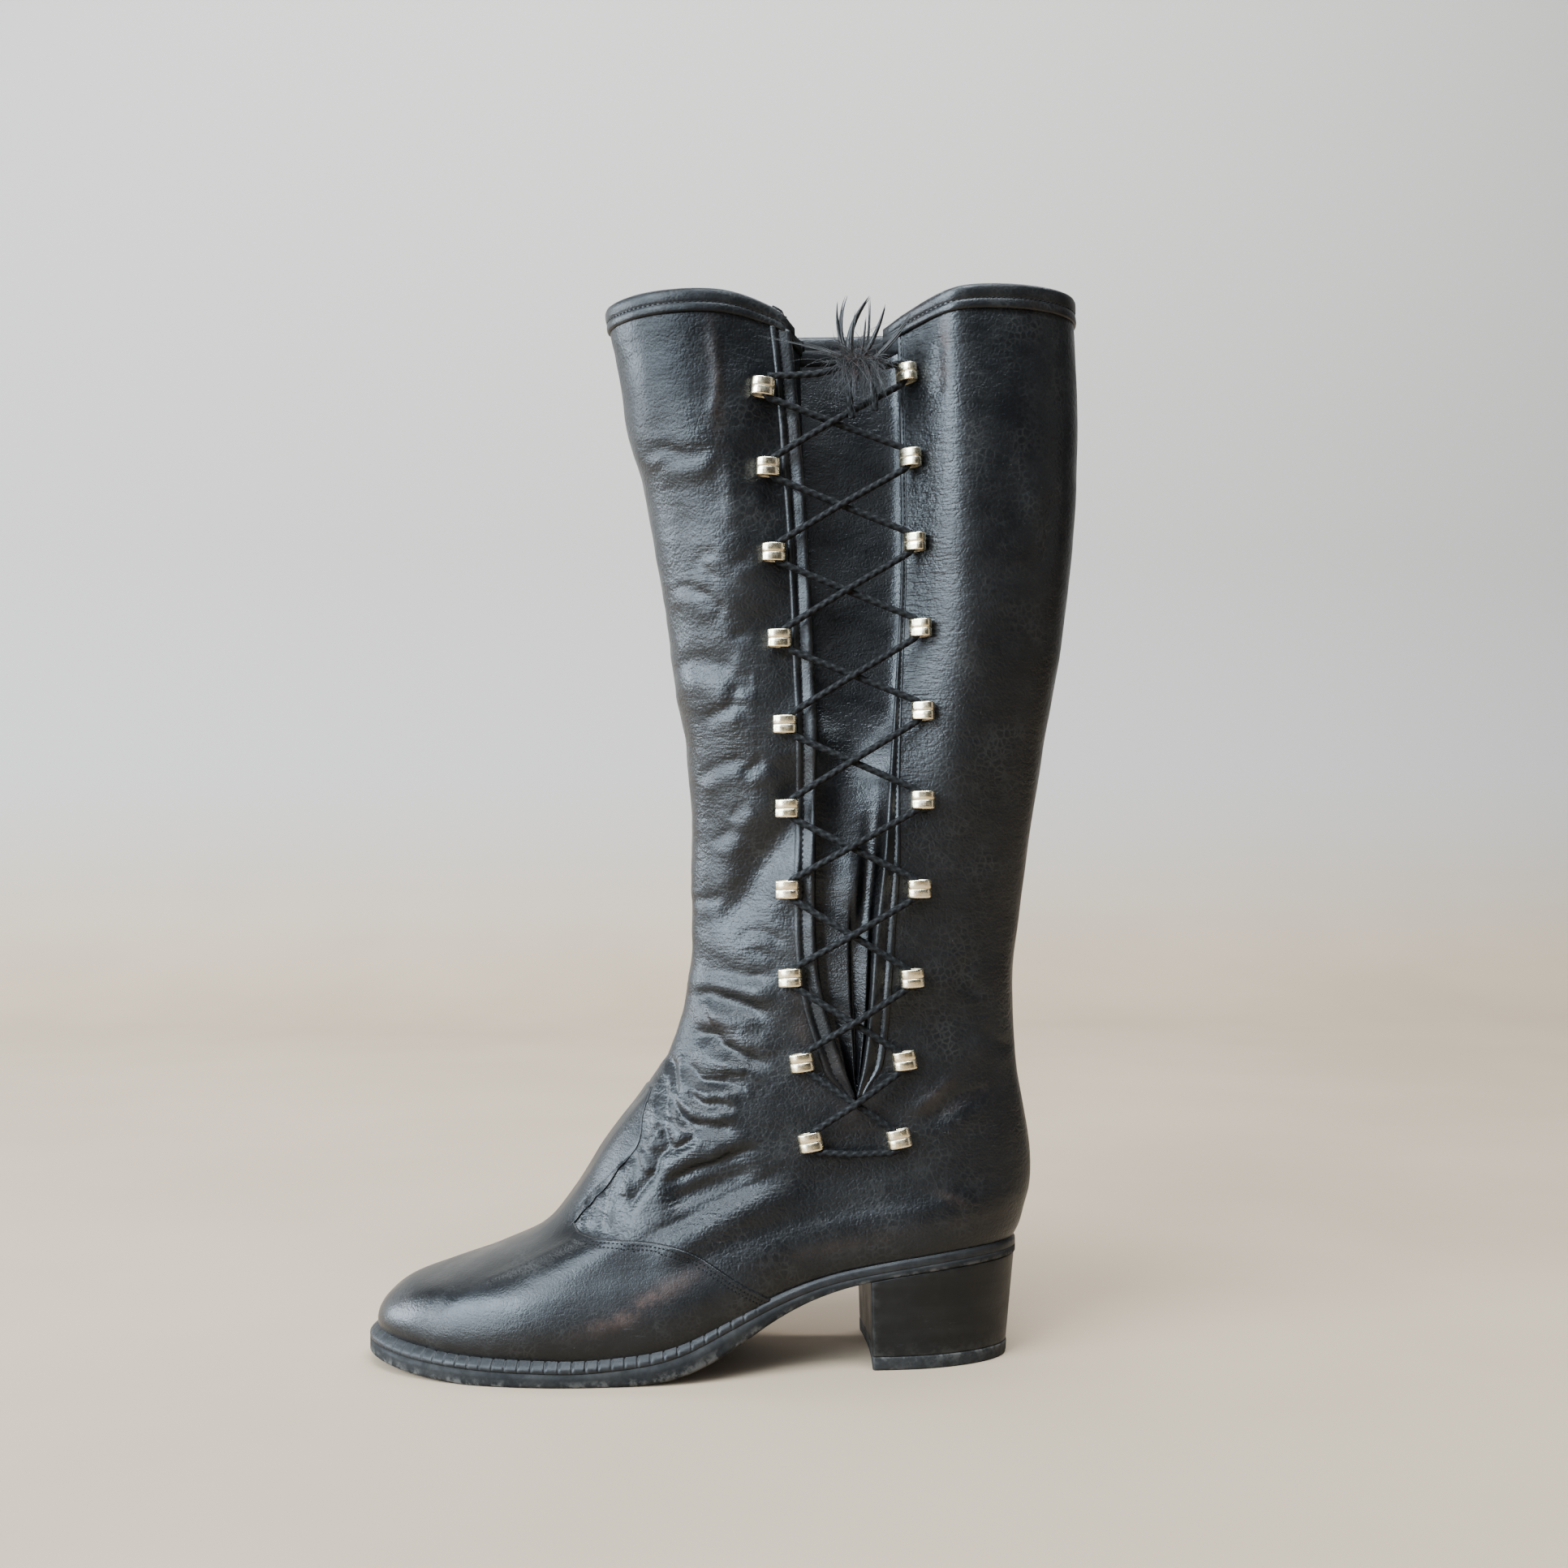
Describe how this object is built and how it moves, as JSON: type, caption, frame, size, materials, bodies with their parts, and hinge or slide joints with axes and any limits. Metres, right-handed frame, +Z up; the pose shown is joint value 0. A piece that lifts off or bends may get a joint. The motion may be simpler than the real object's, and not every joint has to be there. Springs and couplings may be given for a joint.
{
  "type": "knee boot",
  "caption": "Knee-high black leather boot with a block heel, laced up its outer side through metal loops over a gusset, with a hair tassel at the lace knot.",
  "frame": {"origin": "on the floor under the middle of the boot", "axes": "+Z up the shaft, -X towards the toe, -Y towards the outer side with the lacing"},
  "size_m": [0.2752, 0.0924, 0.4108],
  "materials": {
    "upper_leather": "worn black, semi-gloss",
    "gusset_leather": "soft black, satin",
    "insole": "pale, matt",
    "sole_edge": "dark, scuffed",
    "heel_block": "black, scuffed",
    "top_lift": "matt",
    "loop_metal": "bright nickel",
    "lace_cord": "braided",
    "hair": "dark brown hair"
  },
  "bodies": {
    "root": {"collar_binding": "upper_leather", "gusset": "gusset_leather", "gusset_binding": "upper_leather", "heel": "heel_block", "insole": "insole", "lace_bar": "lace_cord", "lace_cross_01": "lace_cord", "lace_cross_02": "lace_cord", "lace_cross_03": "lace_cord", "lace_cross_04": "lace_cord", "lace_cross_05": "lace_cord", "lace_cross_06": "lace_cord", "lace_cross_07": "lace_cord", "lace_cross_08": "lace_cord", "lace_cross_09": "lace_cord", "lace_end_back": "lace_cord", "lace_end_front": "lace_cord", "lace_knot": "lace_cord", "lace_loop_back_01": "loop_metal", "lace_loop_back_02": "loop_metal", "lace_loop_back_03": "loop_metal", "lace_loop_back_04": "loop_metal", "lace_loop_back_05": "loop_metal", "lace_loop_back_06": "loop_metal", "lace_loop_back_07": "loop_metal", "lace_loop_back_08": "loop_metal", "lace_loop_back_09": "loop_metal", "lace_loop_back_10": "loop_metal", "lace_loop_front_01": "loop_metal", "lace_loop_front_02": "loop_metal", "lace_loop_front_03": "loop_metal", "lace_loop_front_04": "loop_metal", "lace_loop_front_05": "loop_metal", "lace_loop_front_06": "loop_metal", "lace_loop_front_07": "loop_metal", "lace_loop_front_08": "loop_metal", "lace_loop_front_09": "loop_metal", "lace_loop_front_10": "loop_metal", "outsole": "sole_edge", "slit_binding_back": "upper_leather", "slit_binding_front": "upper_leather", "tassel": "hair", "top_lift": "top_lift", "upper": "upper_leather", "vamp": "upper_leather", "welt": "sole_edge"}
  },
  "joints": []
}
